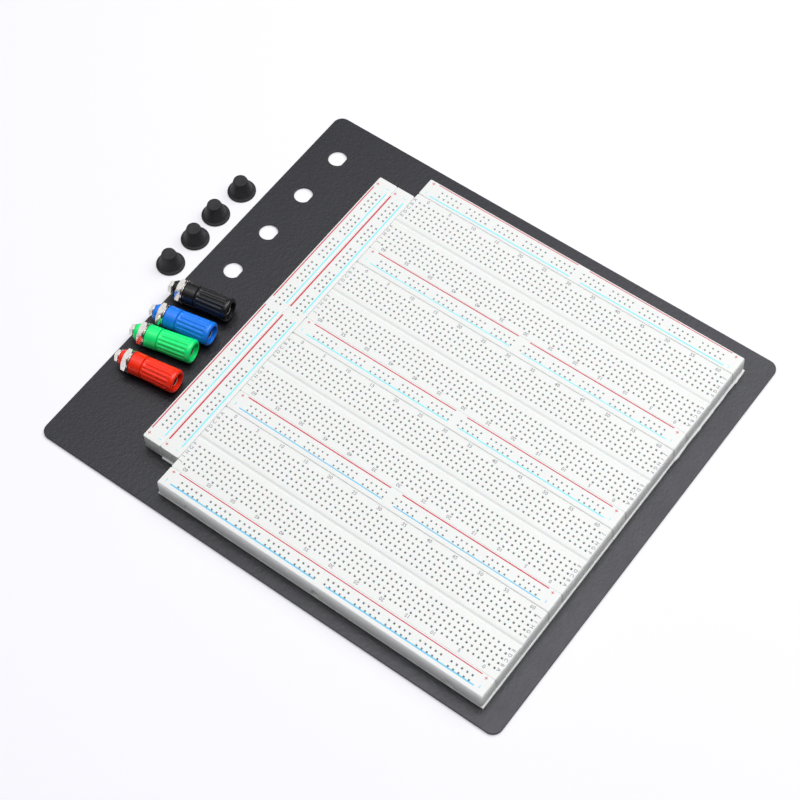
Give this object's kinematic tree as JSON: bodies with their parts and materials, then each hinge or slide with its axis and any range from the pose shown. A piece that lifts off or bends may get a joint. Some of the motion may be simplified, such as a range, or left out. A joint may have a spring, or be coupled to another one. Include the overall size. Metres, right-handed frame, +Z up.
{
  "type": "solderless breadboard",
  "caption": "Large plug-in breadboard: rows of pin sockets in white strips glued to a thin dark plate, with loose binding posts and rubber feet beside it.",
  "frame": {"origin": "centre of the base plate's flat underside", "axes": "+Z up out of the plate, +X along the rows of columns (to the right), +Y towards the back, with the posts and feet at the -X side"},
  "size_m": [0.255, 0.21, 0.0122],
  "materials": {
    "powder_coat": "dark grey powder coat with a fine leathery texture",
    "white_plastic": "white moulded ABS, satin",
    "spring_metal": "nickel-plated spring bronze",
    "foam": "white double-sided foam tape",
    "black_plastic": "glossy black",
    "blue_plastic": "glossy blue",
    "green_plastic": "glossy green",
    "red_plastic": "glossy red",
    "nickel": "bright nickel plate",
    "brass": "turned brass",
    "rubber": "black moulded rubber, matt",
    "red_ink": "red printed line",
    "blue_ink": "light blue printed line",
    "grey_ink": "grey printed figures and letters"
  },
  "bodies": {
    "root": {"base_plate": "powder_coat", "bus_strip_1": "white_plastic", "bus_contacts_1": "spring_metal", "bus_strip_2": "white_plastic", "bus_contacts_2": "spring_metal", "bus_strip_3": "white_plastic", "bus_contacts_3": "spring_metal", "bus_strip_4": "white_plastic", "bus_contacts_4": "spring_metal", "bus_strip_5": "white_plastic", "bus_contacts_5": "spring_metal", "terminal_strip_1": "white_plastic", "terminal_contacts_1": "spring_metal", "adhesive_pad_1": "foam", "terminal_strip_2": "white_plastic", "terminal_contacts_2": "spring_metal", "adhesive_pad_2": "foam", "terminal_strip_3": "white_plastic", "terminal_contacts_3": "spring_metal", "adhesive_pad_3": "foam", "terminal_strip_4": "white_plastic", "terminal_contacts_4": "spring_metal", "adhesive_pad_4": "foam", "side_bus_strip_1": "white_plastic", "side_bus_contacts_1": "spring_metal", "side_adhesive_pad_1": "foam", "side_bus_strip_2": "white_plastic", "side_bus_contacts_2": "spring_metal", "side_adhesive_pad_2": "foam"},
    "black_post": {"black_base": "black_plastic", "black_stud": "nickel", "black_panel_nut": "nickel", "black_rear_nut": "nickel"},
    "black_thread": {"black_cap_insert": "brass"},
    "black_cap": {"black_cap": "black_plastic"},
    "blue_post": {"blue_base": "blue_plastic", "blue_stud": "nickel", "blue_panel_nut": "nickel", "blue_rear_nut": "nickel"},
    "blue_thread": {"blue_cap_insert": "brass"},
    "blue_cap": {"blue_cap": "blue_plastic"},
    "green_post": {"green_base": "green_plastic", "green_stud": "nickel", "green_panel_nut": "nickel", "green_rear_nut": "nickel"},
    "green_thread": {"green_cap_insert": "brass"},
    "green_cap": {"green_cap": "green_plastic"},
    "red_post": {"red_base": "red_plastic", "red_stud": "nickel", "red_panel_nut": "nickel", "red_rear_nut": "nickel"},
    "red_thread": {"red_cap_insert": "brass"},
    "red_cap": {"red_cap": "red_plastic"},
    "foot_1": {"rubber_foot_1": "rubber"},
    "foot_2": {"rubber_foot_2": "rubber"},
    "foot_3": {"rubber_foot_3": "rubber"},
    "foot_4": {"rubber_foot_4": "rubber"}
  },
  "joints": [
    {"name": "black_post_lift", "type": "slide", "parent": "root", "child": "black_post", "axis": [0, 0, 1], "range_m": [0, 0.03]},
    {"name": "black_thread_travel", "type": "slide", "parent": "black_post", "child": "black_thread", "axis": [0.9851, 0.1719, 0], "range_m": [0, 0.00385]},
    {"name": "black_cap_turn", "type": "hinge", "parent": "black_thread", "child": "black_cap", "pos_m": [-0.0882, -0.012, 0.00685], "axis": [0.9851, 0.1719, 0], "range_deg": [0, 1981]},
    {"name": "blue_post_lift", "type": "slide", "parent": "root", "child": "blue_post", "axis": [0, 0, 1], "range_m": [0, 0.03]},
    {"name": "blue_thread_travel", "type": "slide", "parent": "blue_post", "child": "blue_thread", "axis": [0.9851, 0.1719, 0], "range_m": [0, 0.00385]},
    {"name": "blue_cap_turn", "type": "hinge", "parent": "blue_thread", "child": "blue_cap", "pos_m": [-0.0869, -0.0264, 0.00685], "axis": [0.9851, 0.1719, 0], "range_deg": [0, 1981]},
    {"name": "green_post_lift", "type": "slide", "parent": "root", "child": "green_post", "axis": [0, 0, 1], "range_m": [0, 0.03]},
    {"name": "green_thread_travel", "type": "slide", "parent": "green_post", "child": "green_thread", "axis": [0.9763, 0.2164, 0], "range_m": [0, 0.00385]},
    {"name": "green_cap_turn", "type": "hinge", "parent": "green_thread", "child": "green_cap", "pos_m": [-0.0876, -0.0379, 0.00685], "axis": [0.9763, 0.2164, 0], "range_deg": [0, 1981]},
    {"name": "red_post_lift", "type": "slide", "parent": "root", "child": "red_post", "axis": [0, 0, 1], "range_m": [0, 0.03]},
    {"name": "red_thread_travel", "type": "slide", "parent": "red_post", "child": "red_thread", "axis": [0.9893, 0.1461, 0], "range_m": [0, 0.00385]},
    {"name": "red_cap_turn", "type": "hinge", "parent": "red_thread", "child": "red_cap", "pos_m": [-0.0837, -0.0538, 0.00685], "axis": [0.9893, 0.1461, 0], "range_deg": [0, 1981]},
    {"name": "foot_1_lift", "type": "slide", "parent": "root", "child": "foot_1", "axis": [0, 0, 1], "range_m": [0, 0.03]},
    {"name": "foot_2_lift", "type": "slide", "parent": "root", "child": "foot_2", "axis": [0, 0, 1], "range_m": [0, 0.03]},
    {"name": "foot_3_lift", "type": "slide", "parent": "root", "child": "foot_3", "axis": [0, 0, 1], "range_m": [0, 0.03]},
    {"name": "foot_4_lift", "type": "slide", "parent": "root", "child": "foot_4", "axis": [0, 0, 1], "range_m": [0, 0.03]}
  ],
  "couplings": [
    {"joint": "black_cap_turn", "follows": "black_thread_travel", "rad_per_m": 8976},
    {"joint": "blue_cap_turn", "follows": "blue_thread_travel", "rad_per_m": 8976},
    {"joint": "green_cap_turn", "follows": "green_thread_travel", "rad_per_m": 8976},
    {"joint": "red_cap_turn", "follows": "red_thread_travel", "rad_per_m": 8976}
  ]
}
